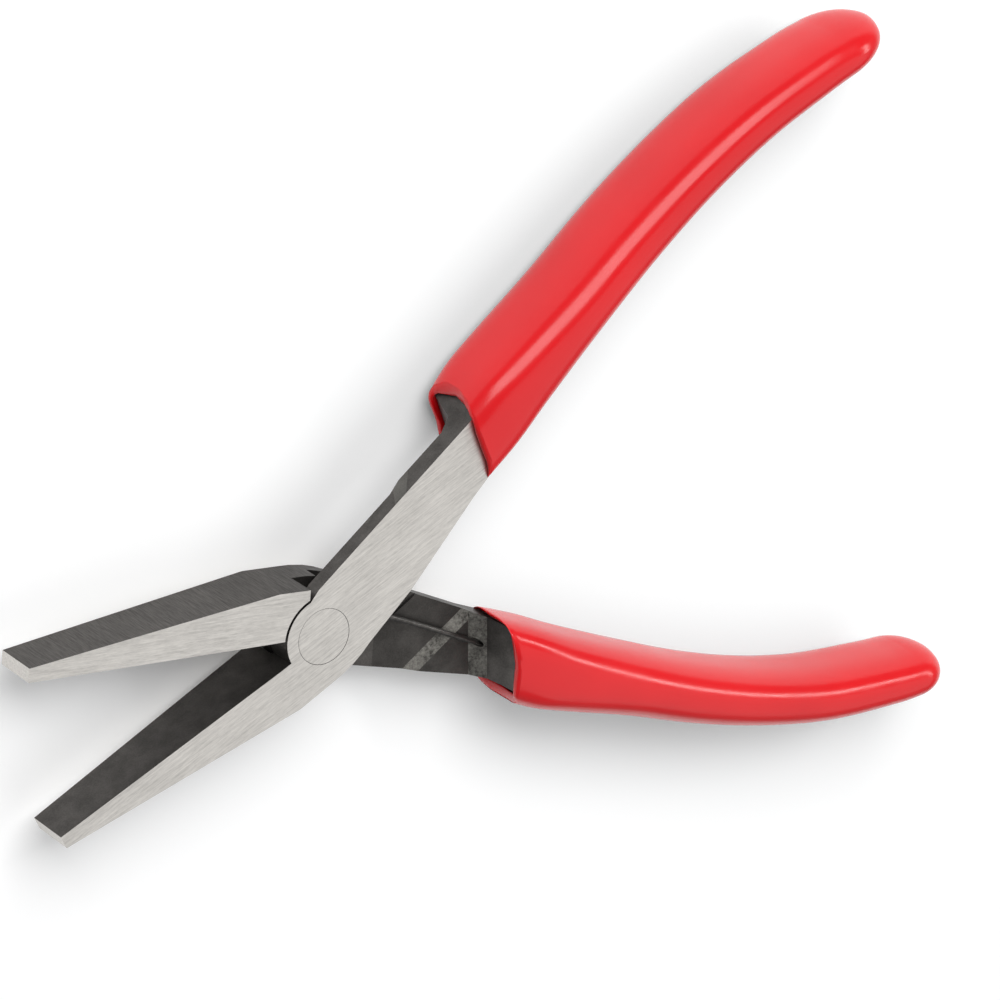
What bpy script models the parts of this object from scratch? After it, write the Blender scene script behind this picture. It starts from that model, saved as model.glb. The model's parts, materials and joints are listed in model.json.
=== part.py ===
"""Miniature flat-nose pliers with a lap joint, a torsion return spring and dipped vinyl grips.

Units are metres, +Z is up. The tool lies flat and stands open at its relaxed angle.
Each steel half is drawn in its own closed-tool frame: the pivot axis is the origin,
+X runs to the handles, its jaw lies at -Y, its handle at +Y, and it is the upper layer.
The lower half is the same forging turned over about X.
"""
import math

import bmesh
import bpy
from mathutils import Matrix, Vector

MM = 0.001

# --- opening and overall thickness (mm, degrees) ---
OPEN_ANGLE = 30.3            # angle between the jaws with the spring relaxed
JOINT_HALF = 3.6             # half the thickness of the steel at the joint
TIP_HALF = 2.7               # half the thickness of the steel at the jaw tips
TANG_END_HALF = 2.6          # half the thickness of the hidden tang at its far end
TANG_TAPER_START = 25.5      # the tang thins from here on
LAP_GAP = 0.15               # each lap face stands this far off the middle plane

# --- jaws ---
TIP_X = -34.35
TIP_HEIGHT = 1.52
JAW_GAP = 0.15               # each gripping face stands this far off the centre line when closed
JAW_HEEL = (-5.85, -5.52)    # where the sloping outer edge turns into the shoulder
BLOCK_END_X = -2.05          # end of the full-thickness jaw block

# --- joint ---
BOSS_RADIUS = 4.45
RECESS_RADIUS = 4.75         # curved wall the other half's boss turns in
SHOULDER = [(-2.0, -5.42), (-0.2, -5.36), (1.5, -5.12), (2.9, -4.75), (4.2, -4.25)]
POCKET_RADIUS = 3.85         # round pocket holding the spring coil
RELIEF_START_X = 1.0         # the arm is thinned from here on
RIVET_SHANK = 2.2
RIVET_HEAD = 3.05
RIVET_HEAD_DEPTH = 1.0
RIVET_CLEARANCE = 0.06
RIVET_FLUSH = 0.02           # the ground head stays this far below the joint face

# --- arms ---
ARM_INNER = [(10.9, -2.2), (21.5, 2.25), (24.2, 3.2)]
ARM_OUTER = [(24.7, 10.2), (1.75, 5.1)]
BOSS_START = 86.0            # where the outer side of the arm steps down to the boss
PLATE_FLOOR = 2.0            # underside of the thinned arm next to the joint
WEB_FLOOR = 1.75             # underside past the small step
NECK_FLOOR = 1.25            # underside between the two ramps
STEP_LINE = [(8.8, 4.0), (15.4, -0.8)]
STEP_TOP = (3.6, 4.2)        # the deeper floor stays inside the arm's outer edge
RAMP_LINE = [(10.1, 11.0), (25.6, -1.7)]
RAMP_RUN = 1.5
SHOULDER_RAMP = [(21.5, 1.25), (23.3, 0.3), (24.6, -3.9)]

# --- handle: grip sections (x, y, half width, half thickness, squareness) ---
GRIP_STATIONS = [
    (24.8, 7.3, 4.35, 4.80, 5.0),
    (28.2, 8.5, 4.40, 5.20, 3.8),
    (33.0, 10.1, 4.15, 5.50, 2.9),
    (41.7, 12.6, 3.70, 5.70, 2.5),
    (50.6, 15.2, 3.45, 5.75, 2.5),
    (59.6, 17.15, 3.25, 5.75, 2.5),
    (68.6, 18.2, 3.10, 5.75, 2.5),
    (77.6, 18.05, 2.90, 5.60, 2.5),
    (81.2, 17.75, 2.80, 5.55, 2.4),
]
GRIP_ENDS = {"front": (87.3, 17.3), "rear": (85.5, 17.0)}   # dipped ends differ a little
GRIP_SEGMENTS = 32
MOUTH_SLANT = 14.0           # tilt of the mouth away from square to the centre line
MOUTH_BLEND = 9.0            # length over which the sections swing square to the handle
TANG_STATIONS = [
    (28.6, 8.6, 3.20),
    (33.0, 10.1, 2.80),
    (41.7, 12.6, 2.40),
    (50.6, 15.2, 2.20),
    (59.6, 17.15, 2.00),
    (68.6, 18.2, 1.85),
    (78.5, 18.0, 1.60),
]
GRIP_FIT = 0.3               # air between tang and vinyl

# --- return spring ---
WIRE_RADIUS = 0.3
COIL_RADIUS = 3.3
COIL_EXTRA_TURNS = 1
LEG_LEVEL = 0.84             # height of each straight leg off the middle plane
LEG_ANGLE = 22.6             # direction of a leg in its half's closed frame
LEG_LENGTH = 23.0
SPRING_HOLE_RADIUS = 0.38
SPRING_HOLE_DEPTH = 5.0

HALF_OPEN = math.radians(OPEN_ANGLE / 2)


def clear_scene():
    for obj in list(bpy.data.objects):
        bpy.data.objects.remove(obj, do_unlink=True)
    for mesh in list(bpy.data.meshes):
        bpy.data.meshes.remove(mesh)


def new_collection(name):
    coll = bpy.data.collections.new(name)
    bpy.context.scene.collection.children.link(coll)
    return coll


def material(name, color, metallic, roughness, coat=0.0):
    mat = bpy.data.materials.new(name)
    mat.use_nodes = True
    shader = mat.node_tree.nodes["Principled BSDF"]
    shader.inputs["Base Color"].default_value = (*color, 1.0)
    shader.inputs["Metallic"].default_value = metallic
    shader.inputs["Roughness"].default_value = roughness
    shader.inputs["Coat Weight"].default_value = coat
    return mat


def arc(radius, start, end, steps):
    """Points on a circle about the pivot, angles in degrees."""
    points = []
    for i in range(steps + 1):
        a = math.radians(start + (end - start) * i / steps)
        points.append((radius * math.cos(a), radius * math.sin(a)))
    return points


def catmull(p0, p1, p2, p3, t):
    """Smooth value between p1 and p2."""
    a = 2 * p1
    b = p2 - p0
    c = 2 * p0 - 5 * p1 + 4 * p2 - p3
    d = -p0 + 3 * p1 - 3 * p2 + p3
    return 0.5 * (a + b * t + c * t * t + d * t * t * t)


def smooth_rows(rows, per_span):
    """Interpolate rows of numbers with a smooth curve through every row."""
    out = []
    last = len(rows) - 1
    for i in range(last):
        before = rows[max(i - 1, 0)]
        after = rows[min(i + 2, last)]
        for k in range(per_span):
            t = k / per_span
            out.append(tuple(catmull(a, b, c, d, t)
                             for a, b, c, d in zip(before, rows[i], rows[i + 1], after)))
    out.append(tuple(rows[-1]))
    return out


def mesh_from_curve(name, curve, coll):
    """Turn a curve into a welded mesh object."""
    temp = bpy.data.objects.new(name + "_curve", curve)
    coll.objects.link(temp)
    bpy.context.view_layer.update()
    evaluated = temp.evaluated_get(bpy.context.evaluated_depsgraph_get())
    mesh = bpy.data.meshes.new_from_object(evaluated)
    bpy.data.objects.remove(temp, do_unlink=True)
    bpy.data.curves.remove(curve)
    bm = bmesh.new()
    bm.from_mesh(mesh)
    bmesh.ops.remove_doubles(bm, verts=bm.verts, dist=0.000002)
    bmesh.ops.dissolve_limit(bm, angle_limit=0.001, verts=bm.verts, edges=bm.edges)
    bmesh.ops.recalc_face_normals(bm, faces=bm.faces)
    bm.to_mesh(mesh)
    bm.free()
    obj = bpy.data.objects.new(name, mesh)
    coll.objects.link(obj)
    return obj


def slab(name, outline, z0, z1, coll):
    """Flat plate with the given outline between two heights (mm)."""
    curve = bpy.data.curves.new(name + "_outline", "CURVE")
    curve.dimensions = "2D"
    curve.fill_mode = "BOTH"
    curve.extrude = (z1 - z0) / 2 * MM
    line = curve.splines.new("POLY")
    line.points.add(len(outline) - 1)
    for point, (x, y) in zip(line.points, outline):
        point.co = (x * MM, y * MM, 0, 1)
    line.use_cyclic_u = True
    obj = mesh_from_curve(name, curve, coll)
    obj.data.transform(Matrix.Translation((0, 0, (z0 + z1) / 2 * MM)))
    return obj


def sloped_block(name, low, high, z0, z1, coll):
    """Block between two outlines of equal length, one at each height (mm)."""
    bm = bmesh.new()
    rings = []
    for outline, z in ((low, z0), (high, z1)):
        verts = [bm.verts.new((x * MM, y * MM, z * MM)) for x, y in outline]
        edges = [bm.edges.new((a, b)) for a, b in zip(verts, verts[1:] + verts[:1])]
        bm.faces.new(verts)
        rings += edges
    bmesh.ops.bridge_loops(bm, edges=rings)
    bmesh.ops.recalc_face_normals(bm, faces=bm.faces)
    mesh = bpy.data.meshes.new(name)
    bm.to_mesh(mesh)
    bm.free()
    obj = bpy.data.objects.new(name, mesh)
    coll.objects.link(obj)
    return obj


def turned(name, profile, segments, coll):
    """Solid of revolution about Z from an outer profile (radius, z) in mm, top to bottom."""
    mesh = bpy.data.meshes.new(name)
    points = [(r * MM, 0, z * MM) for r, z in profile]
    mesh.from_pydata(points, [(i, i + 1) for i in range(len(points) - 1)], [])
    obj = bpy.data.objects.new(name, mesh)
    coll.objects.link(obj)
    screw = obj.modifiers.new("turn", "SCREW")
    screw.axis = "Z"
    screw.steps = segments
    screw.render_steps = segments
    screw.use_merge_vertices = True
    screw.merge_threshold = 0.00001
    screw.use_normal_calculate = True
    apply_modifiers(obj)
    return obj


def apply_modifiers(obj):
    """Replace the object's mesh by its evaluated result."""
    bpy.context.view_layer.update()
    evaluated = obj.evaluated_get(bpy.context.evaluated_depsgraph_get())
    mesh = bpy.data.meshes.new_from_object(evaluated)
    obj.modifiers.clear()
    old = obj.data
    obj.data = mesh
    bpy.data.meshes.remove(old)
    bm = bmesh.new()
    bm.from_mesh(mesh)
    bmesh.ops.remove_doubles(bm, verts=bm.verts, dist=0.000001)
    bmesh.ops.recalc_face_normals(bm, faces=bm.faces)
    bm.to_mesh(mesh)
    bm.free()


def cut(obj, cutters):
    """Subtract each cutter in turn."""
    for cutter in cutters:
        cutter.hide_render = True
        cutter.display_type = "WIRE"
        boolean = obj.modifiers.new("cut_" + cutter.name, "BOOLEAN")
        boolean.operation = "DIFFERENCE"
        boolean.solver = "EXACT"
        boolean.object = cutter
    apply_modifiers(obj)


def trim(obj, point, normal):
    """Cut away everything on the side the normal points to and close the cut."""
    bm = bmesh.new()
    bm.from_mesh(obj.data)
    geom = bm.verts[:] + bm.edges[:] + bm.faces[:]
    cut_geom = bmesh.ops.bisect_plane(bm, geom=geom, plane_co=Vector(point) * MM,
                                      plane_no=Vector(normal), clear_outer=True)["geom_cut"]
    loop = [e for e in cut_geom if isinstance(e, bmesh.types.BMEdge)]
    bmesh.ops.contextual_create(bm, geom=loop)
    bmesh.ops.recalc_face_normals(bm, faces=bm.faces)
    bm.to_mesh(obj.data)
    bm.free()


def tang_sides(spare):
    """Inner and outer edge of the tang, grown by a spare margin."""
    rows = smooth_rows(TANG_STATIONS, 3)
    inner, outer = [], []
    for i, (x, y, w) in enumerate(rows):
        ax, ay, _ = rows[max(i - 1, 0)]
        bx, by, _ = rows[min(i + 1, len(rows) - 1)]
        length = math.hypot(bx - ax, by - ay)
        nx, ny = -(by - ay) / length, (bx - ax) / length
        inner.append((x - nx * (w + spare), y - ny * (w + spare)))
        outer.append((x + nx * (w + spare), y + ny * (w + spare)))
    end_x, end_y, _ = rows[-1]
    prev_x, prev_y, _ = rows[-2]
    length = math.hypot(end_x - prev_x, end_y - prev_y)
    reach = 1.2 + spare
    tip = (end_x + (end_x - prev_x) / length * reach, end_y + (end_y - prev_y) / length * reach)
    return inner, tip, outer


def half_outline():
    inner, tip, outer = tang_sides(0)
    outline = [(TIP_X, -JAW_GAP), (TIP_X, -JAW_GAP - TIP_HEIGHT), JAW_HEEL]
    outline += SHOULDER + ARM_INNER + inner + [tip] + outer[::-1] + ARM_OUTER
    outline += arc(BOSS_RADIUS, BOSS_START, 180 + math.degrees(math.asin(JAW_GAP / BOSS_RADIUS)), 20)
    return outline


def shift_along(line, distance):
    """Move both ends of a line sideways, towards the handle."""
    (ax, ay), (bx, by) = line
    length = math.hypot(bx - ax, by - ay)
    nx, ny = -(by - ay) / length, (bx - ax) / length
    return [(ax + nx * distance, ay + ny * distance), (bx + nx * distance, by + ny * distance)]


def relief_outline(end_line):
    """Area removed from under the arm, from the joint to a slanting end line."""
    (ax, ay), (bx, by) = end_line
    return [(RELIEF_START_X, -12), (bx, by - 12), (bx, by), (ax, ay), (RELIEF_START_X, 12)]


def step_outline():
    """Slightly deeper floor beside the spring coil."""
    (ax, ay), (bx, by) = STEP_LINE
    return [(RELIEF_START_X, -12), (bx, by - 12), (bx, by), (ax, ay), STEP_TOP, (RELIEF_START_X, 3.6)]


def arm_cutters(coll):
    deep = -JOINT_HALF - 1
    step = slab("cut_arm_plate", step_outline(), deep, PLATE_FLOOR, coll)
    near = relief_outline(RAMP_LINE)
    far = relief_outline(shift_along(RAMP_LINE, RAMP_RUN))
    ramp = sloped_block("cut_arm_web", far, near, NECK_FLOOR - 0.05, WEB_FLOOR, coll)
    (x0, z0), (x1, z1), (x2, z2) = SHOULDER_RAMP

    def to_shoulder(x):
        return [(RELIEF_START_X, -14), (x - 1.6, -14), (x + 1.4, 16), (RELIEF_START_X, 16)]

    neck = sloped_block("cut_arm_neck", to_shoulder(x1), to_shoulder(x0), z1, z0, coll)
    below = sloped_block("cut_arm_below", to_shoulder(x2), to_shoulder(x1), z2, z1 + 0.001, coll)
    return [step, ramp, neck, below]


def lap_cutter(coll):
    """Recess the other half's boss turns in, behind the lap face."""
    wall_angle = 180 + math.degrees(math.acos(-BLOCK_END_X / RECESS_RADIUS))
    area = [(BLOCK_END_X, -14)] + arc(RECESS_RADIUS, wall_angle, 180, 16)
    area += [(-RECESS_RADIUS, 14), (RELIEF_START_X + 3, 14), (RELIEF_START_X + 3, -14)]
    return slab("cut_lap", area, -JOINT_HALF - 1, LAP_GAP, coll)


def rivet_cutter(coll):
    hole = RIVET_SHANK + RIVET_CLEARANCE
    head = RIVET_HEAD + RIVET_CLEARANCE
    top = JOINT_HALF
    profile = [(0, top + 1), (head, top + 1), (head, top - 0.35),
               (hole, top - RIVET_HEAD_DEPTH - RIVET_CLEARANCE), (hole, -top - 1), (0, -top - 1)]
    return turned("cut_rivet_hole", profile, 48, coll)


def pocket_cutter(coll):
    profile = [(0, PLATE_FLOOR), (POCKET_RADIUS, PLATE_FLOOR), (POCKET_RADIUS, -1), (0, -1)]
    return turned("cut_spring_pocket", profile, 48, coll)


def leg_direction():
    a = math.radians(LEG_ANGLE)
    return Vector((math.cos(a), math.sin(a), 0))


def leg_start():
    """Where a straight leg leaves the coil, in the half's frame."""
    a = math.radians(LEG_ANGLE - 90)
    return Vector((COIL_RADIUS * math.cos(a), COIL_RADIUS * math.sin(a), LEG_LEVEL))


def hole_cutter(coll):
    """Small blind hole for the end of the spring leg."""
    along = leg_direction()
    start = leg_start() + along * (LEG_LENGTH - 1.3)
    middle = start + along * (SPRING_HOLE_DEPTH / 2)
    mesh = bpy.data.meshes.new("cut_spring_hole")
    bm = bmesh.new()
    bmesh.ops.create_cone(bm, cap_ends=True, segments=16, radius1=SPRING_HOLE_RADIUS * MM,
                          radius2=SPRING_HOLE_RADIUS * MM, depth=SPRING_HOLE_DEPTH * MM)
    bm.to_mesh(mesh)
    bm.free()
    turn = along.to_track_quat("Z", "Y").to_matrix().to_4x4()
    mesh.transform(Matrix.Translation(middle * MM) @ turn)
    obj = bpy.data.objects.new("cut_spring_hole", mesh)
    coll.objects.link(obj)
    return obj


def build_half(name, coll, cutters):
    half = slab(name, half_outline(), -JOINT_HALF, JOINT_HALF, coll)
    taper = Vector((TIP_HALF - JOINT_HALF, 0, TIP_X - JAW_HEEL[0])).normalized()
    for side in (1, -1):
        trim(half, (JAW_HEEL[0], 0, side * JOINT_HALF), (taper.x, 0, -taper.z * side))
        run = TANG_STATIONS[-1][0] - TANG_TAPER_START
        drop = JOINT_HALF - TANG_END_HALF
        trim(half, (TANG_TAPER_START, 0, side * JOINT_HALF), (drop, 0, run * side))
    tools = [lap_cutter(cutters), *arm_cutters(cutters), pocket_cutter(cutters)]
    tools += [rivet_cutter(cutters), hole_cutter(cutters)]
    cut(half, tools)
    for tool in tools:
        bpy.data.objects.remove(tool, do_unlink=True)
    return half


def grip_ring(bm, center, side, half_width, half_thick, power):
    """One closed section of the grip: a rounded oval across the handle."""
    verts = []
    for i in range(GRIP_SEGMENTS):
        a = 2 * math.pi * i / GRIP_SEGMENTS
        c, s = math.cos(a), math.sin(a)
        u = math.copysign(abs(c) ** (2 / power), c) * half_width
        v = math.copysign(abs(s) ** (2 / power), s) * half_thick
        verts.append(bm.verts.new((center + side * u + Vector((0, 0, 1)) * v) * MM))
    return [bm.edges.new((a, b)) for a, b in zip(verts, verts[1:] + verts[:1])]


def grip_rows(end):
    """Dense stations of the grip, closed by a rounded end."""
    rows = smooth_rows(GRIP_STATIONS, 3)
    x0, y0, w0, t0, power = rows[-1]
    x1, y1 = end
    for k in range(1, 8):
        a = math.radians(86 * k / 7)
        s, c = math.sin(a), math.cos(a)
        rows.append((x0 + (x1 - x0) * s, y0 + (y1 - y0) * s, w0 * c, t0 * c, power))
    return rows


def build_grip(name, end, coll, cutters):
    bm = bmesh.new()
    rows = grip_rows(end)
    rings = []
    for i, (x, y, w, t, power) in enumerate(rows):
        ax, ay = rows[max(i - 1, 0)][:2]
        bx, by = rows[min(i + 1, len(rows) - 1)][:2]
        along = math.atan2(by - ay, bx - ax)
        blend = min(max((x - rows[0][0]) / MOUTH_BLEND, 0), 1)
        square = along + math.pi / 2
        mouth = math.pi / 2 - math.radians(MOUTH_SLANT)
        tilt = mouth + (square - mouth) * blend
        stretch = 1 / math.cos(square - tilt)
        side = Vector((math.cos(tilt), math.sin(tilt), 0)) * stretch
        rings.append(grip_ring(bm, Vector((x, y, 0)), side, w, t, power))
    for a, b in zip(rings, rings[1:]):
        bmesh.ops.bridge_loops(bm, edges=a + b)
    for end in (rings[0], rings[-1]):
        bmesh.ops.contextual_create(bm, geom=end)
    bmesh.ops.recalc_face_normals(bm, faces=bm.faces)
    mesh = bpy.data.meshes.new(name)
    bm.to_mesh(mesh)
    bm.free()
    grip = bpy.data.objects.new(name, mesh)
    coll.objects.link(grip)
    inner, tip, outer = tang_sides(GRIP_FIT)
    hollow = [(20.0, 1.1), (24.2, 2.85), *inner, tip, *outer[::-1], (24.7, 10.55), (20.0, 9.5)]
    thick = JOINT_HALF + GRIP_FIT
    room = slab("cut_grip_hollow", hollow, -thick, thick, cutters)
    cut(grip, [room])
    bpy.data.objects.remove(room, do_unlink=True)
    return grip


def build_rivet(coll):
    top = JOINT_HALF - RIVET_FLUSH
    neck = top - RIVET_HEAD_DEPTH
    profile = [(0, top), (RIVET_HEAD - 0.15, top), (RIVET_HEAD, top - 0.15), (RIVET_HEAD, top - 0.35),
               (RIVET_SHANK, neck), (RIVET_SHANK, -neck), (RIVET_HEAD, 0.35 - top),
               (RIVET_HEAD, 0.15 - top), (RIVET_HEAD - 0.15, -top), (0, -top)]
    return turned("pivot_rivet", profile, 48, coll)


def build_spring(coll):
    """Wire path: upper leg, coil about the rivet, lower leg."""
    upper = Matrix.Rotation(HALF_OPEN, 4, "Z")
    lower = Matrix.Rotation(-HALF_OPEN, 4, "Z") @ Matrix.Rotation(math.pi, 4, "X")
    start = leg_start()
    tip = start + leg_direction() * LEG_LENGTH
    first = math.radians(LEG_ANGLE - 90) + HALF_OPEN
    sweep = 2 * math.pi * (1 + COIL_EXTRA_TURNS) + 2 * first
    path = [upper @ tip, upper @ (start + leg_direction() * 4)]
    steps = 56
    for i in range(steps + 1):
        a = first - sweep * i / steps
        z = LEG_LEVEL - 2 * LEG_LEVEL * i / steps
        path.append(Vector((COIL_RADIUS * math.cos(a), COIL_RADIUS * math.sin(a), z)))
    path += [lower @ (start + leg_direction() * 4), lower @ tip]
    curve = bpy.data.curves.new("spring_path", "CURVE")
    curve.dimensions = "3D"
    curve.bevel_depth = WIRE_RADIUS * MM
    curve.bevel_resolution = 2
    curve.use_fill_caps = True
    line = curve.splines.new("POLY")
    line.points.add(len(path) - 1)
    for point, co in zip(line.points, path):
        point.co = (*(co * MM), 1)
    return mesh_from_curve("return_spring", curve, coll)


def seat_on_floor(objects):
    """Centre everything over the origin with its lowest point at z = 0."""
    bpy.context.view_layer.update()
    corners = [obj.matrix_world @ v.co for obj in objects for v in obj.data.vertices]
    low = Vector([min(c[i] for c in corners) for i in range(3)])
    high = Vector([max(c[i] for c in corners) for i in range(3)])
    shift = Vector((-(low.x + high.x) / 2, -(low.y + high.y) / 2, -low.z))
    for obj in objects:
        obj.matrix_world = Matrix.Translation(shift) @ obj.matrix_world


def shade(obj, angle):
    for poly in obj.data.polygons:
        poly.use_smooth = True
    obj.data.set_sharp_from_angle(angle=math.radians(angle))


def main():
    clear_scene()
    parts = new_collection("flat_nose_pliers")
    cutters = new_collection("cutters")
    front = Matrix.Rotation(HALF_OPEN, 4, "Z")
    rear = Matrix.Rotation(-HALF_OPEN, 4, "Z") @ Matrix.Rotation(math.pi, 4, "X")
    objects = []
    for side, pose in (("front", front), ("rear", rear)):
        half = build_half(side + "_half", parts, cutters)
        half.matrix_world = pose
        half.data.materials.append(material(side + "_half_steel", (0.55, 0.55, 0.54), 0.9, 0.35))
        grip = build_grip(side + "_grip", GRIP_ENDS[side], parts, cutters)
        grip.matrix_world = pose
        grip.data.materials.append(material(side + "_grip_vinyl", (0.75, 0.02, 0.03), 0.0, 0.25, 0.5))
        objects += [half, grip]
    rivet = build_rivet(parts)
    rivet.data.materials.append(material("pivot_rivet_steel", (0.62, 0.62, 0.61), 0.95, 0.3))
    spring = build_spring(parts)
    spring.data.materials.append(material("return_spring_wire", (0.2, 0.19, 0.18), 0.9, 0.4))
    objects += [rivet, spring]
    for obj in objects:
        shade(obj, 35)
    seat_on_floor(objects)


main()
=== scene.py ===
"""Looks of the flat-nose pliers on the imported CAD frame: ground and blackened steel, dipped vinyl."""
import json
import math

import bmesh
import bpy
from mathutils import Matrix, Vector


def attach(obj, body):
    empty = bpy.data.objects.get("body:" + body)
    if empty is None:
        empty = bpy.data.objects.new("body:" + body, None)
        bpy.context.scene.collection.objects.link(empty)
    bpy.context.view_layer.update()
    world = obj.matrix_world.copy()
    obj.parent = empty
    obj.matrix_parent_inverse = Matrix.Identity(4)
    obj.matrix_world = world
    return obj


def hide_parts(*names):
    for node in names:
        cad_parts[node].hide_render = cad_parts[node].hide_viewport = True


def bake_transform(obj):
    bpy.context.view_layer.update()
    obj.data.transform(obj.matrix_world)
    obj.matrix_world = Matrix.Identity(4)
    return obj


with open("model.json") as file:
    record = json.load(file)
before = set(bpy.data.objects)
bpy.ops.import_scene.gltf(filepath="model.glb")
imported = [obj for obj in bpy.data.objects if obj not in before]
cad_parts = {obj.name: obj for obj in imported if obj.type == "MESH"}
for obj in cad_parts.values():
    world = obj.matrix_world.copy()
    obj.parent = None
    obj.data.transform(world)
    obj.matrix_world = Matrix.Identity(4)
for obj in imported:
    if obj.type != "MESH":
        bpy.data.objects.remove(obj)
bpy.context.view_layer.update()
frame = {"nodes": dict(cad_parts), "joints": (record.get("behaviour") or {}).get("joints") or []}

MM = 0.001
JOINT = frame["joints"][0]
PIVOT = Vector(JOINT["pos_m"])
HALF_OPEN = math.radians(-JOINT["range_deg"][0] / 2)
TO_PIVOT = Matrix.Translation(PIVOT)
# Each half has its own closed-tool frame: pivot at the origin, +X to the handles, handle at +Y.
POSE = {
    "front": TO_PIVOT @ Matrix.Rotation(HALF_OPEN, 4, "Z"),
    "rear": TO_PIVOT @ Matrix.Rotation(-HALF_OPEN, 4, "Z") @ Matrix.Rotation(math.pi, 4, "X"),
}
BODY = {"front": "front_lever", "rear": "rear_lever"}

TIP_X = -34.35
GRAIN = "grain_place"

# --- steel faces ---
EDGE_WIDTH = 0.11
SHARP_ANGLE = 18
SHORTEST_EDGE = 0.12
GROUND, OXIDE, RAMP, GROUND_EDGE_HIGHLIGHT, OXIDE_EDGE, LINED, PAINTED_LIGHT_PATCH, SHADED_RECESS = range(8)
UPRIGHT = 0.98
SIDEWAYS = 0.7
ARM_X = 5
RECESS_X = 8
LAP_ZONE = 2.5
JAW_SIDE_END_X = 2
# Lighter patches on the outer side of the arm, painted light that stands in for facets catching more
# light: x and z of one corner, then the run of the line.
PAINTED_LIGHT_LINES = [((9.0, 0.0), (0.57, 1.0)), ((13.9, 0.0), (-3.3, 2.1)), ((15.6, 0.0), (-1.5, 2.35)),
               ((18.4, 0.0), (-1.55, 1.6))]

# --- rivet ---
RIVET_HEAD = 3.085
RIVET_SHANK = 2.2
RIVET_TOP = 3.58
HEAD_CHAMFER = 0.03
HEAD_RIM = 0.33
HEAD_DEPTH = 1.0

# --- return spring ---
WIRE_RADIUS = 0.3
COIL_RADIUS = 3.3
LEG_LEVEL = 0.84
LEG_ANGLE = 22.6
LEG_LENGTH = 23.0
LEG_BOW = 0.12
BOW_AT = 0.36
BOW_WIDTH = 0.16
BEND_ALLOWANCE = 1.2
LEG_POINTS = 12
COIL_POINTS = 120

# --- grips: x, y, half width, half thickness, squareness ---
GRIP_ROWS = [
    (24.45, 7.2, 4.35, 4.62, 3.3),
    (28.2, 8.5, 4.40, 5.18, 3.3),
    (33.0, 10.1, 4.15, 5.50, 2.9),
    (41.7, 12.6, 3.70, 5.70, 2.5),
    (50.6, 15.2, 3.45, 5.75, 2.5),
    (59.6, 17.15, 3.25, 5.75, 2.5),
    (68.6, 18.2, 3.10, 5.75, 2.5),
    (77.6, 18.05, 2.88, 5.60, 2.5),
    (81.2, 17.75, 2.76, 5.52, 2.4),
]
GRIP_ENDS = {"front": (87.0, 17.3), "rear": (85.25, 17.0)}
NUB = {"front": 0.22, "rear": 0.12}
GRIP_AROUND = 96
MOUTH_SLANT = 12.0
MOUTH_BLEND = 9.0
# How far the rim is drawn back from that plane: angle around the mouth, distance.
RIM = [(-180, -0.1), (-135, 0.0), (-90, 0.12), (-50, -0.5), (-35, 0.1), (-12, 0.7), (8, 0.66),
       (28, 0.25), (45, -0.22), (65, -0.28), (90, 0.05), (115, 0.45), (140, 0.3), (180, -0.1)]
LIP = 0.3
# Hole at the mouth: centre, half width, half thickness and squareness, close around the tang.
HOLE = (6.8, 3.56, 3.7, 9.0)
HOLE_BLEND = 5.0
RIM_REACH = 5.0
LIP_STEPS = 8
LOOPS_PER_SPAN = 8
CAP_STEPS = 16
CAP_STOP = 89
CAP_BLUNTNESS = 0.84
CAP_ROUNDING = 0.4
SKIN_AT_MOUTH = 0.6
SKIN_GAIN = 0.9
SKIN_GAIN_LENGTH = 14
THINNEST_HOLLOW = 0.4
NUB_REACH = 2.6
NUB_LOOPS = 24

# --- studio ---
FLOOR_SIZE = 3.0
FLOOR_DROP = 0.00005
LIGHT_DISTANCE = 0.8
LIGHT_AIM = Vector((0, 0, 0.005))
WORLD_STRENGTH = 0.30
# azimuth, elevation, width, height, brightness
SOFTBOXES = {
    "key_box": (92, 46, 0.7, 0.55, 4.4),
    "strip_box": (8, 36, 0.5, 0.075, 12.0),
    "fill_box": (-50, 54, 0.8, 0.8, 0.72),
}
LENS = 187.63
# Turn from the tool's axes to the camera's, as axis times angle, and the pivot's place before it in mm.
CAMERA_TURN = Vector((-2.569, 0.379, -0.763))
CAMERA_PLACE = Vector((-20.105, 12.85, 537.324))


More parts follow.
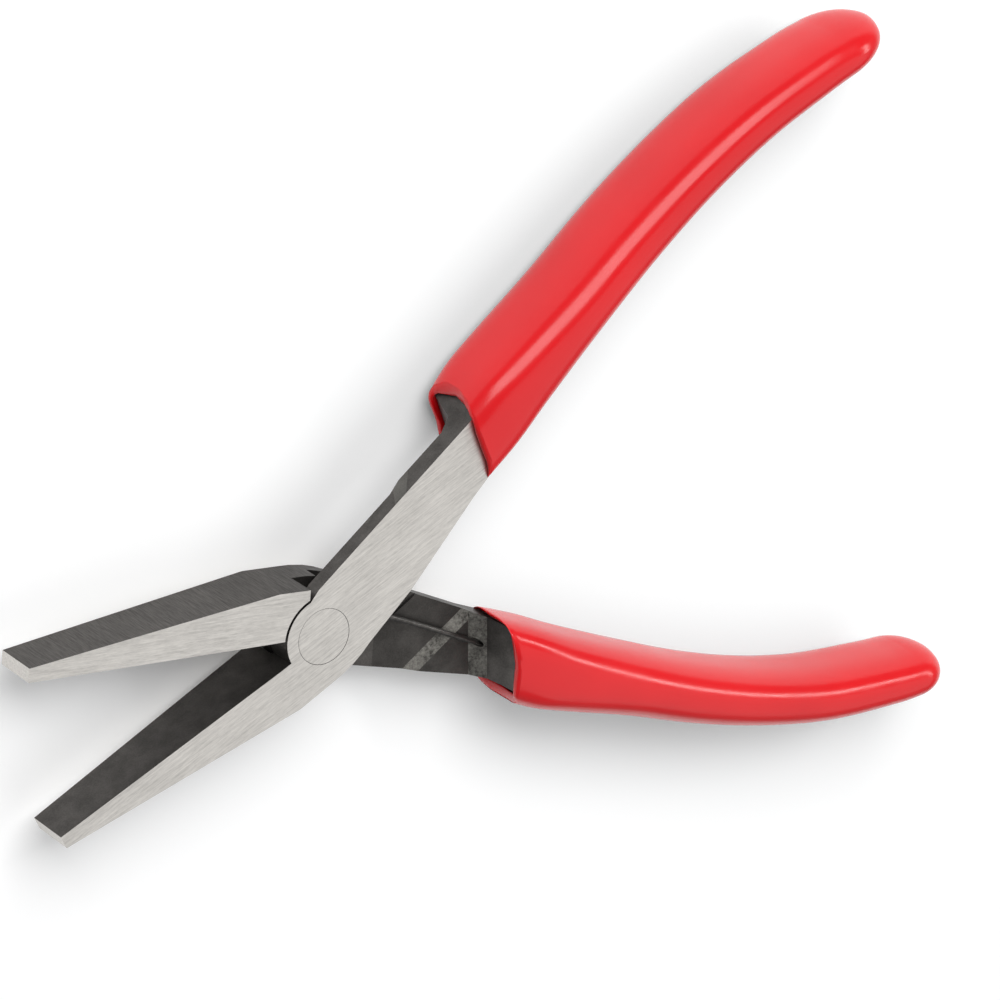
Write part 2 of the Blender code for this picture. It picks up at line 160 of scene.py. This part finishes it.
class Nodes:
    """Short helpers for building one material's node tree."""

    def __init__(self, name):
        self.mat = bpy.data.materials.new(name)
        self.mat.use_nodes = True
        self.tree = self.mat.node_tree
        self.shader = self.tree.nodes["Principled BSDF"]

    def add(self, kind, **values):
        node = self.tree.nodes.new(kind)
        for key, value in values.items():
            setattr(node, key, value)
        return node

    def link(self, a, b):
        self.tree.links.new(a, b)

    def set(self, **values):
        for key, value in values.items():
            self.shader.inputs[key.replace("_", " ")].default_value = value

    def coords(self, scale=(1, 1, 1), turn=(0, 0, 0)):
        place = self.add("ShaderNodeAttribute", attribute_name=GRAIN)
        mapping = self.add("ShaderNodeMapping")
        mapping.inputs["Scale"].default_value = scale
        mapping.inputs["Rotation"].default_value = [math.radians(a) for a in turn]
        self.link(place.outputs["Vector"], mapping.inputs["Vector"])
        return mapping.outputs["Vector"]

    def noise(self, vector, scale, detail=4.0, rough=0.55):
        node = self.add("ShaderNodeTexNoise")
        node.inputs["Scale"].default_value = scale
        node.inputs["Detail"].default_value = detail
        node.inputs["Roughness"].default_value = rough
        self.link(vector, node.inputs["Vector"])
        return node.outputs["Fac"]

    def ramp(self, value, *stops):
        node = self.add("ShaderNodeValToRGB")
        ramp = node.color_ramp
        while len(ramp.elements) < len(stops):
            ramp.elements.new(0.5)
        for element, (at, color) in zip(ramp.elements, stops):
            element.position = at
            if not isinstance(color, tuple):
                color = (color, color, color)
            element.color = (*color, 1)
        self.link(value, node.inputs["Fac"])
        return node.outputs["Color"]

    def math(self, op, a, b=None):
        node = self.add("ShaderNodeMath", operation=op)
        for socket, value in zip(node.inputs, (a, b)):
            if value is None:
                continue
            if isinstance(value, (int, float)):
                socket.default_value = value
            else:
                self.link(value, socket)
        return node.outputs["Value"]

    def mix(self, kind, factor, a, b):
        node = self.add("ShaderNodeMix", data_type="RGBA", blend_type=kind)
        for name, value in (("Factor", factor), ("A", a), ("B", b)):
            socket = [s for s in node.inputs if s.name == name and
                      (s.type == "RGBA" or name == "Factor" and s.type == "VALUE")][0]
            if isinstance(value, (int, float)):
                socket.default_value = value
            elif isinstance(value, tuple):
                socket.default_value = (*value, 1)
            else:
                self.link(value, socket)
        return [s for s in node.outputs if s.type == "RGBA"][0]

    def bump(self, height, strength, distance, normal=None):
        node = self.add("ShaderNodeBump")
        node.inputs["Strength"].default_value = strength
        node.inputs["Distance"].default_value = distance
        self.link(height, node.inputs["Height"])
        if normal is not None:
            self.link(normal, node.inputs["Normal"])
        return node.outputs["Normal"]


def ground_steel(name, tone, turn=0.0):
    """Flat surface-ground steel: long fine grit lines over a faint mottle."""
    n = Nodes(name)
    n.set(Metallic=1.0)
    fine = n.noise(n.coords((260, 5200, 5200), (0, 0, turn)), 1.0, 6, 0.65)
    long = n.noise(n.coords((150, 3400, 3400), (0, 0, turn + 1.2)), 1.0, 4, 0.6)
    cross = n.noise(n.coords((620, 7000, 7000), (0, 0, turn - 3)), 1.0, 3, 0.6)
    cloud = n.noise(n.coords(), 190, 3, 0.5)
    speck = n.noise(n.coords((1500, 7500, 7500), (0, 0, turn)), 1.0, 4, 0.7)
    lines = n.math("ADD", n.math("MULTIPLY", fine, 0.35), n.math("MULTIPLY", long, 0.2))
    lines = n.math("ADD", lines, n.math("MULTIPLY", cross, 0.2))
    lines = n.math("ADD", lines, n.math("MULTIPLY", speck, 0.25))
    low, high = [t * 0.78 for t in tone], [min(t * 1.18, 1.0) for t in tone]
    base = n.ramp(lines, (0.38, tuple(low)), (0.5, tuple(tone)), (0.62, tuple(high)))
    base = n.mix("MULTIPLY", 1.0, base, n.ramp(cloud, (0.3, 0.93), (0.7, 1.0)))
    n.link(base, n.shader.inputs["Base Color"])
    rough = n.ramp(lines, (0.35, 0.46), (0.65, 0.34))
    n.link(rough, n.shader.inputs["Roughness"])
    n.link(n.bump(lines, 0.25, 0.00003), n.shader.inputs["Normal"])
    return n.mat


def black_oxide(name, tone, spread=0.3, grit=0.35):
    """Blackened forged steel: dark satin with a fine mottle."""
    n = Nodes(name)
    n.set(Metallic=0.85, Specular_IOR_Level=0.5)
    fine = n.noise(n.coords(), 5200, 4, 0.6)
    blotch = n.noise(n.coords(), 420, 4, 0.55)
    value = n.math("ADD", n.math("MULTIPLY", fine, 0.45), n.math("MULTIPLY", blotch, 0.55))
    low = tuple(t * (1 - spread) for t in tone)
    high = tuple(t * (1 + spread) for t in tone)
    n.link(n.ramp(value, (0.35, low), (0.65, high)), n.shader.inputs["Base Color"])
    n.link(n.ramp(blotch, (0.35, 0.5), (0.65, 0.4)), n.shader.inputs["Roughness"])
    n.link(n.bump(fine, grit, 0.00003), n.shader.inputs["Normal"])
    return n.mat


def worn_oxide(name, dark, light):
    """Blackened ramp whose oxide is rubbed through in speckles."""
    n = Nodes(name)
    n.set(Metallic=0.85)
    speckle = n.noise(n.coords((2600, 2600, 2600)), 1.0, 5, 0.75)
    blotch = n.noise(n.coords((700, 420, 700), (0, 0, 20)), 1.0, 3, 0.6)
    worn = n.math("ADD", n.math("MULTIPLY", speckle, 0.6), n.math("MULTIPLY", blotch, 0.4))
    n.link(n.ramp(worn, (0.38, dark), (0.62, light)), n.shader.inputs["Base Color"])
    n.link(n.ramp(worn, (0.38, 0.5), (0.62, 0.36)), n.shader.inputs["Roughness"])
    n.link(n.bump(speckle, 0.6, 0.00005), n.shader.inputs["Normal"])
    return n.mat


def lined_oxide(name, tone):
    """Blackened face that still shows the slanting lines of the belt that ground it."""
    n = Nodes(name)
    n.set(Metallic=0.85)
    lines = n.noise(n.coords((7500, 1200, 520), (0, -34, 0)), 1.0, 6, 0.7)
    blotch = n.noise(n.coords(), 160, 3, 0.5)
    low = tuple(t * 0.68 for t in tone)
    high = tuple(t * 1.3 for t in tone)
    base = n.ramp(lines, (0.36, low), (0.64, high))
    base = n.mix("MULTIPLY", 1.0, base, n.ramp(blotch, (0.3, 0.82), (0.7, 1.0)))
    n.link(base, n.shader.inputs["Base Color"])
    n.link(n.ramp(lines, (0.35, 0.5), (0.65, 0.38)), n.shader.inputs["Roughness"])
    n.link(n.bump(lines, 0.35, 0.00004), n.shader.inputs["Normal"])
    return n.mat


def vinyl(name):
    """Glossy dip-moulded vinyl with a faint orange-peel."""
    n = Nodes(name)
    n.set(Metallic=0.0, IOR=1.48, Specular_IOR_Level=0.5)
    cloud = n.noise(n.coords(), 70, 3, 0.5)
    base = n.ramp(cloud, (0.3, (0.66, 0.004, 0.008)), (0.7, (0.73, 0.006, 0.010)))
    n.link(base, n.shader.inputs["Base Color"])
    n.link(n.ramp(n.noise(n.coords(), 300, 2), (0.3, 0.2), (0.7, 0.26)), n.shader.inputs["Roughness"])
    peel = n.noise(n.coords(), 900, 2, 0.4)
    wave = n.noise(n.coords((60, 160, 160)), 1.0, 2, 0.4)
    normal = n.bump(wave, 0.12, 0.0004)
    n.link(n.bump(peel, 0.05, 0.00005, normal), n.shader.inputs["Normal"])
    return n.mat


def drawn_wire(name):
    """Dark drawn spring wire."""
    n = Nodes(name)
    n.set(Metallic=0.9)
    lines = n.noise(n.coords(), 2600, 3, 0.6)
    n.link(n.ramp(lines, (0.35, (0.06, 0.056, 0.052)), (0.65, (0.10, 0.095, 0.09))),
           n.shader.inputs["Base Color"])
    n.link(n.ramp(lines, (0.3, 0.42), (0.7, 0.3)), n.shader.inputs["Roughness"])
    n.link(n.bump(lines, 0.15, 0.00002), n.shader.inputs["Normal"])
    return n.mat


def new_object(name, mesh):
    obj = bpy.data.objects.new(name, mesh)
    bpy.context.scene.collection.objects.link(obj)
    return obj


def posed_object(name, mesh, matrix):
    """Keep each vertex's place in its own half for the finish, then move the mesh to its pose."""
    grain = mesh.attributes.new(GRAIN, "FLOAT_VECTOR", "POINT")
    for vert, item in zip(mesh.vertices, grain.data):
        item.vector = vert.co
    mesh.transform(matrix)
    return new_object(name, mesh)


def finish_mesh(bm, name, sharp=35.0):
    bmesh.ops.recalc_face_normals(bm, faces=bm.faces)
    mesh = bpy.data.meshes.new(name)
    bm.to_mesh(mesh)
    bm.free()
    for face in mesh.polygons:
        face.use_smooth = True
    mesh.set_sharp_from_angle(angle=math.radians(sharp))
    return mesh


def score(bm, corner, along):
    """Cut every face along a slanting line on the outer side of the arm."""
    normal = Vector((along[1], 0, -along[0]))
    bmesh.ops.bisect_plane(bm, geom=bm.verts[:] + bm.edges[:] + bm.faces[:], dist=0.0000001,
                           plane_co=Vector((corner[0], 0, corner[1])) * MM, plane_no=normal)


def on_painted_light(c):
    """Whether a point of the outer side lies in one of the lighter patches of painted light."""
    edge = [x + run[0] / run[1] * (c.z - z) for (x, z), run in PAINTED_LIGHT_LINES]
    return edge[0] < c.x < edge[1] or edge[2] < c.x < edge[3]


def steel_slot(face):
    """Which finish a face of the forging has, from where it looks and where it lies; some faces get
    painted light or painted shade instead.
    """
    looks = face.normal
    centre = face.calc_center_median() / MM
    # Lighter oxide on parts of the arm's outer side is painted light, for facets that catch more light.
    if looks.y > SIDEWAYS and centre.x > ARM_X and on_painted_light(centre):
        return PAINTED_LIGHT_PATCH
    # Faces looking down into the recess past RECESS_X get darker oxide than the rest: painted shade.
    if looks.z < -UPRIGHT and centre.x > RECESS_X:
        return SHADED_RECESS
    if abs(looks.z) > UPRIGHT and abs(centre.z) > LAP_ZONE:
        return GROUND
    if looks.x < -0.9 and centre.x < TIP_X + 0.5:
        return GROUND
    if centre.x > RECESS_X and 0.75 < abs(looks.z) < UPRIGHT:
        return RAMP
    if looks.y < -SIDEWAYS and centre.x < JAW_SIDE_END_X:
        return LINED
    return OXIDE


def is_sharp(edge):
    """Whether an edge is long and sharp enough to be softened."""
    if len(edge.link_faces) != 2 or edge.calc_length() <= SHORTEST_EDGE * MM:
        return False
    return edge.calc_face_angle(0) > math.radians(SHARP_ANGLE)


def build_half(side, materials):
    """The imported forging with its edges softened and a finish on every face."""
    bm = bmesh.new()
    bm.from_mesh(frame["nodes"][side + "_half"].data)
    bm.transform(POSE[side].inverted())
    bmesh.ops.remove_doubles(bm, verts=bm.verts, dist=0.000001)
    bmesh.ops.dissolve_limit(bm, angle_limit=math.radians(0.4), verts=bm.verts, edges=bm.edges)
    for corner, along in PAINTED_LIGHT_LINES:
        score(bm, corner, along)
    bm.normal_update()
    for face in bm.faces:
        face.material_index = steel_slot(face)
    sharp = [edge for edge in bm.edges if is_sharp(edge)]
    made = bmesh.ops.bevel(bm, geom=sharp, offset=EDGE_WIDTH * MM, segments=2, profile=0.5,
                           affect="EDGES", clamp_overlap=True, material=OXIDE_EDGE)
    # Arrises beside ground faces get a much brighter steel than the faces themselves: a painted
    # highlight along the edges.
    for face in made["faces"]:
        around = {f.material_index for e in face.edges for f in e.link_faces}
        if GROUND in around or GROUND_EDGE_HIGHLIGHT in around:
            face.material_index = GROUND_EDGE_HIGHLIGHT
    mesh = finish_mesh(bm, side + "_forging")
    for mat in materials:
        mesh.materials.append(mat)
    obj = posed_object(side + "_forging", mesh, POSE[side])
    weighted = obj.modifiers.new("flat_faces", "WEIGHTED_NORMAL")
    weighted.keep_sharp = True
    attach(obj, BODY[side])
    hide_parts(side + "_half")
    return obj


def catmull(p0, p1, p2, p3, t):
    """Smooth value between p1 and p2."""
    a = 2 * p1
    b = p2 - p0
    c = 2 * p0 - 5 * p1 + 4 * p2 - p3
    d = -p0 + 3 * p1 - 3 * p2 + p3
    return 0.5 * (a + b * t + c * t * t + d * t * t * t)


def smooth_rows(rows, per_span):
    """The rows with smooth extra rows between each two."""
    out = []
    last = len(rows) - 1
    for i in range(last):
        before, after = rows[max(i - 1, 0)], rows[min(i + 2, last)]
        for k in range(per_span):
            t = k / per_span
            out.append(tuple(catmull(a, b, c, d, t)
                             for a, b, c, d in zip(before, rows[i], rows[i + 1], after)))
    out.append(tuple(rows[-1]))
    return out


def grip_stations(side):
    """Dense stations of the outer skin, then a rounded end."""
    rows = smooth_rows(GRIP_ROWS, LOOPS_PER_SPAN)
    x, y, width, thick, power = rows[-1]
    end_x, end_y = GRIP_ENDS[side]
    for k in range(1, CAP_STEPS + 1):
        angle = math.radians(CAP_STOP * k / CAP_STEPS)
        ahead = math.sin(angle)
        blunt = math.cos(angle) ** CAP_BLUNTNESS
        rows.append((x + (end_x - x) * ahead, y + (end_y - y) * ahead, width * blunt, thick * blunt,
                     power - CAP_ROUNDING * ahead))
    return rows


def wall_at(distance):
    """Thickness of the vinyl a given distance past the mouth."""
    return SKIN_AT_MOUTH + SKIN_GAIN * min(distance / SKIN_GAIN_LENGTH, 1)


def drawn_back(u, v):
    """How far the rim is drawn back in the direction of a point of the section."""
    angle = math.degrees(math.atan2(v, u))
    for (a, low), (b, high) in zip(RIM, RIM[1:]):
        if angle <= b:
            break
    t = (angle - a) / (b - a)
    return low + (high - low) * (3 - 2 * t) * t * t


class Sleeve:
    """Sections of one grip, slanted at the mouth and square to its curve further on."""

    def __init__(self, side):
        self.rows = grip_stations(side)
        self.last = len(self.rows) - 1
        self.bm = bmesh.new()

    def past_mouth(self, index):
        return max(self.rows[index][0] - self.rows[0][0], 0)

    def along(self, index):
        """Direction of the grip's centre line."""
        before = Vector(self.rows[max(index - 1, 0)][:2])
        after = Vector(self.rows[min(index + 1, self.last)][:2])
        return (after - before).normalized().to_3d()

    def across(self, index):
        """Direction of the section's width, longer where the section is slanted."""
        ahead = self.along(index)
        square = math.atan2(ahead.y, ahead.x) + math.pi / 2
        mouth = math.pi / 2 - math.radians(MOUTH_SLANT)
        tilt = mouth + (square - mouth) * min(self.past_mouth(index) / MOUTH_BLEND, 1)
        return Vector((math.cos(tilt), math.sin(tilt), 0)) / math.cos(square - tilt)

    def outline(self, index, centre, half, thick, scale_by, power):
        """Points of a squarish oval at one station, drawn back like the rim near the mouth."""
        across = self.across(index)
        along = self.along(index)
        fade = max(1 - self.past_mouth(index) / RIM_REACH, 0) ** 2
        points = []
        for k in range(GRIP_AROUND):
            angle = 2 * math.pi * k / GRIP_AROUND
            c, s = math.cos(angle), math.sin(angle)
            u = math.copysign(abs(c) ** (2 / power), c) * half
            v = math.copysign(abs(s) ** (2 / power), s) * thick
            back = fade * drawn_back(u / scale_by[0], v / scale_by[1])
            points.append(centre + across * u + Vector((0, 0, v)) + along * back)
        return points

    def section(self, index, inset):
        """Points of the skin at one station, or of the wall inside it."""
        x, y, width, thick, power = self.rows[index]
        half, high = max(width - inset, 0.02), max(thick - inset, 0.02)
        return self.outline(index, Vector((x, y, 0)), half, high, (width, thick), power)

    def hole(self, index):
        """Points of the hole that the tang fills, at the depth of one station."""
        x, y = self.rows[index][:2]
        middle, half, thick, power = HOLE
        centre = Vector((x, y, 0)) + self.across(index) * (middle - GRIP_ROWS[0][1])
        return self.outline(index, centre, half, thick, (half, thick), power)

    def ring(self, points):
        return [self.bm.verts.new(p * MM) for p in points]

    def inner_rings(self):
        """The inner wall from its far end to the mouth."""
        rings = []
        for i in range(self.last - 3, 0, -1):
            past = self.rows[i][0] - self.rows[0][0]
            inset = wall_at(past)
            if self.rows[i][2] - inset <= THINNEST_HOLLOW or past < 0.3:
                continue
            points = self.section(i, inset)
            blend = min(past / HOLE_BLEND, 1)
            if blend < 1:
                points = [a.lerp(b, blend) for a, b in zip(self.hole(i), points)]
            rings.append(self.ring(points))
        return rings

    def lip_rings(self):
        """The rounded edge from the hole to the outer skin."""
        outer, inner, along = self.section(0, 0.0), self.hole(0), self.along(0)
        rings = []
        for k in range(LIP_STEPS, -1, -1):
            angle = math.pi * k / LIP_STEPS
            back = along * LIP * (1 - math.sin(angle))
            inward = (1 - math.cos(angle)) / 2
            rings.append(self.ring([p.lerp(q, inward) + back for p, q in zip(outer, inner)]))
        return rings

    def outer_rings(self):
        return [self.ring(self.section(i, 0.0)) for i in range(1, self.last + 1)]


def skin_rings(bm, loops):
    """Faces between each two rings, and one over each end."""
    for a, b in zip(loops, loops[1:]):
        for k in range(GRIP_AROUND):
            j = (k + 1) % GRIP_AROUND
            bm.faces.new((a[k], a[j], b[j], b[k]))
    for loop in (loops[0], loops[-1]):
        bm.faces.new(loop)


def pull_nub(loops, side, out):
    """Draw the drip out of the end of the sleeve."""
    tip = Vector((*GRIP_ENDS[side], 0)) * MM
    reach = NUB_REACH * MM
    for vert in loops_near(loops, tip, reach):
        away = (vert.co - tip).length / reach
        vert.co += out * NUB[side] * MM * (1 - away * away) ** 2


def build_grip(side, material):
    """A dipped sleeve: outer skin, rounded lip and inner skin in one closed mesh."""
    sleeve = Sleeve(side)
    loops = sleeve.inner_rings() + sleeve.lip_rings() + sleeve.outer_rings()
    skin_rings(sleeve.bm, loops)
    pull_nub(loops, side, sleeve.along(sleeve.last))
    mesh = finish_mesh(sleeve.bm, side + "_sleeve", 60)
    mesh.materials.append(material)
    obj = posed_object(side + "_sleeve", mesh, POSE[side])
    obj.visible_diffuse = False
    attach(obj, BODY[side])
    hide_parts(side + "_grip")
    return obj


def loops_near(loops, point, reach):
    """Vertices of the outer skin within reach of a point."""
    return [v for loop in loops[-NUB_LOOPS:] for v in loop if (v.co - point).length < reach]


def build_rivet(materials):
    """Headed pin ground flush on both faces."""
    top = RIVET_TOP
    upper = [(0, top), (RIVET_HEAD - HEAD_CHAMFER, top), (RIVET_HEAD, top - HEAD_CHAMFER),
             (RIVET_HEAD, top - HEAD_RIM), (RIVET_SHANK, top - HEAD_DEPTH)]
    profile = upper + [(radius, -z) for radius, z in reversed(upper)]
    bm = bmesh.new()
    verts = [bm.verts.new((r * MM, 0, z * MM)) for r, z in profile]
    edges = [bm.edges.new(pair) for pair in zip(verts, verts[1:])]
    bmesh.ops.spin(bm, geom=verts + edges, cent=(0, 0, 0), axis=(0, 0, 1), dvec=(0, 0, 0),
                   angle=2 * math.pi, steps=128, use_merge=True)
    bmesh.ops.remove_doubles(bm, verts=bm.verts, dist=0.0000005)
    bm.normal_update()
    for face in bm.faces:
        flat = abs(face.normal.z) > UPRIGHT
        face.material_index = 0 if flat else 1
    mesh = finish_mesh(bm, "ground_rivet", 30)
    for mat in materials:
        mesh.materials.append(mat)
    obj = posed_object("ground_rivet", mesh, POSE["front"])
    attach(obj, "rear_lever")
    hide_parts("pivot_rivet")
    return obj


def spring_path():
    """Upper leg, two winds about the rivet, lower leg, about the pivot in millimetres."""
    upper = Matrix.Rotation(HALF_OPEN, 4, "Z")
    lower = Matrix.Rotation(-HALF_OPEN, 4, "Z") @ Matrix.Rotation(math.pi, 4, "X")
    a = math.radians(LEG_ANGLE - 90)
    start = Vector((COIL_RADIUS * math.cos(a), COIL_RADIUS * math.sin(a), LEG_LEVEL))
    ahead = Vector((math.cos(math.radians(LEG_ANGLE)), math.sin(math.radians(LEG_ANGLE)), 0))
    beside = Vector((-ahead.y, ahead.x, 0))
    leg = []
    for k in range(LEG_POINTS + 1):
        t = k / LEG_POINTS
        reach = BEND_ALLOWANCE + (LEG_LENGTH - BEND_ALLOWANCE) * t
        bow = LEG_BOW * math.exp(-((t - BOW_AT) / BOW_WIDTH) ** 2)
        leg.append(start + ahead * reach + beside * bow)
    first = a + HALF_OPEN
    sweep = 4 * math.pi + 2 * first
    path = [upper @ p for p in reversed(leg)]
    for i in range(COIL_POINTS + 1):
        turn = first - sweep * i / COIL_POINTS
        z = LEG_LEVEL - 2 * LEG_LEVEL * i / COIL_POINTS
        path.append(Vector((COIL_RADIUS * math.cos(turn), COIL_RADIUS * math.sin(turn), z)))
    return path + [lower @ p for p in leg]


def wire_mesh():
    """Round wire along the spring's path."""
    curve = bpy.data.curves.new("spring_line", "CURVE")
    curve.dimensions = "3D"
    curve.bevel_depth = WIRE_RADIUS * MM
    curve.bevel_resolution = 4
    curve.use_fill_caps = True
    path = spring_path()
    line = curve.splines.new("POLY")
    line.points.add(len(path) - 1)
    for point, co in zip(line.points, path):
        point.co = (*(PIVOT + co * MM), 1)
    temp = new_object("spring_line", curve)
    bpy.context.view_layer.update()
    graph = bpy.context.evaluated_depsgraph_get()
    mesh = bpy.data.meshes.new_from_object(temp.evaluated_get(graph))
    bpy.data.objects.remove(temp)
    bm = bmesh.new()
    bm.from_mesh(mesh)
    bmesh.ops.remove_doubles(bm, verts=bm.verts, dist=0.000001)
    return finish_mesh(bm, "coiled_wire", 50)


def build_spring(material):
    """The wire, whose legs lie along the two halves as they are posed, while its coil winds between
    them.
    """
    wire = wire_mesh()
    wire.materials.append(material)
    obj = posed_object("coiled_wire", wire, Matrix.Identity(4))
    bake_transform(obj)
    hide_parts("return_spring")
    return obj


def build_floor():
    """Plain pale floor that also glows faintly: painted light."""
    bm = bmesh.new()
    bmesh.ops.create_grid(bm, x_segments=1, y_segments=1, size=FLOOR_SIZE)
    floor = new_object("studio_floor", finish_mesh(bm, "studio_floor"))
    n = Nodes("pale_floor_glowing")
    # White emission on the floor is painted light: it lifts the shadows and lights the tool from below.
    n.set(Roughness=0.9, Specular_IOR_Level=0.1, Emission_Strength=0.08)
    n.shader.inputs["Emission Color"].default_value = (1, 1, 1, 1)
    n.shader.inputs["Base Color"].default_value = (0.95, 0.95, 0.95, 1)
    floor.data.materials.append(n.mat)
    floor.location.z = -FLOOR_DROP


def direction(azimuth, elevation):
    a, e = math.radians(azimuth), math.radians(elevation)
    return Vector((math.cos(a) * math.cos(e), math.sin(a) * math.cos(e), math.sin(e)))


def softbox(name, azimuth, elevation, width, height, radiance):
    """Rectangular soft light that looks at the tool; radiance is its brightness as seen."""
    light = bpy.data.lights.new(name, "AREA")
    light.shape = "RECTANGLE"
    light.size = width
    light.size_y = height
    light.energy = radiance * width * height * math.pi
    obj = new_object(name, light)
    toward = direction(azimuth, elevation)
    obj.location = LIGHT_AIM + toward * LIGHT_DISTANCE
    obj.rotation_mode = "QUATERNION"
    obj.rotation_quaternion = toward.to_track_quat("Z", "Y")
    return obj


def build_lights():
    """Soft white room with a key, a narrow strip and a fill."""
    world = bpy.data.worlds.new("studio")
    bpy.context.scene.world = world
    world.use_nodes = True
    back = world.node_tree.nodes["Background"]
    back.inputs["Color"].default_value = (0.98, 0.99, 1.0, 1)
    back.inputs["Strength"].default_value = WORLD_STRENGTH
    for name, place in SOFTBOXES.items():
        softbox(name, *place)


def build_camera():
    """Three-quarter view from above the jaw side, rolled so that the handles fan to the right."""
    camera = bpy.data.cameras.new("camera")
    camera.sensor_width = 36.0
    camera.lens = LENS
    camera.clip_start, camera.clip_end = 0.05, 20
    obj = new_object("camera", camera)
    to_camera = Matrix.Rotation(CAMERA_TURN.length, 3, CAMERA_TURN.normalized())
    right, down, ahead = to_camera
    turn = Matrix((right, -down, -ahead)).transposed()
    place = PIVOT - to_camera.transposed() @ CAMERA_PLACE * MM
    obj.matrix_world = Matrix.Translation(place) @ turn.to_4x4()
    bpy.context.scene.camera = obj


def main():
    tone = (0.64, 0.615, 0.58)
    ground = ground_steel("ground_steel", tone)
    oxide = black_oxide("black_oxide", (0.085, 0.079, 0.074))
    ramp = worn_oxide("worn_oxide", (0.05, 0.047, 0.043), (0.27, 0.26, 0.235))
    # Bright steel for the arrises of the ground faces: a painted highlight.
    ground_edge_highlight = black_oxide("ground_arris_painted_highlight", (0.88, 0.87, 0.84), 0.06, 0.1)
    oxide_edge = black_oxide("oxide_arris", (0.15, 0.145, 0.14), 0.3, 0.2)
    lined = lined_oxide("lined_oxide", (0.085, 0.078, 0.072))
    # Lighter oxide for parts of the arm's outer side: painted light.
    lit_patch_oxide = black_oxide("painted_light_oxide", (0.125, 0.12, 0.11), 0.25, 0.5)
    # Darker oxide for the recess floors: painted shade.
    recess_shade_oxide = black_oxide("recess_oxide_painted_shade", (0.06, 0.056, 0.052))
    steels = [ground, oxide, ramp, ground_edge_highlight, oxide_edge, lined, lit_patch_oxide, recess_shade_oxide]
    for side in ("front", "rear"):
        build_half(side, steels)
        build_grip(side, vinyl(side + "_vinyl"))
    build_rivet([ground_steel("rivet_face", tone, 6.0), oxide])
    build_spring(drawn_wire("spring_wire"))
    build_floor()
    build_lights()
    build_camera()
    bpy.context.scene.view_settings.view_transform = "Standard"


main()
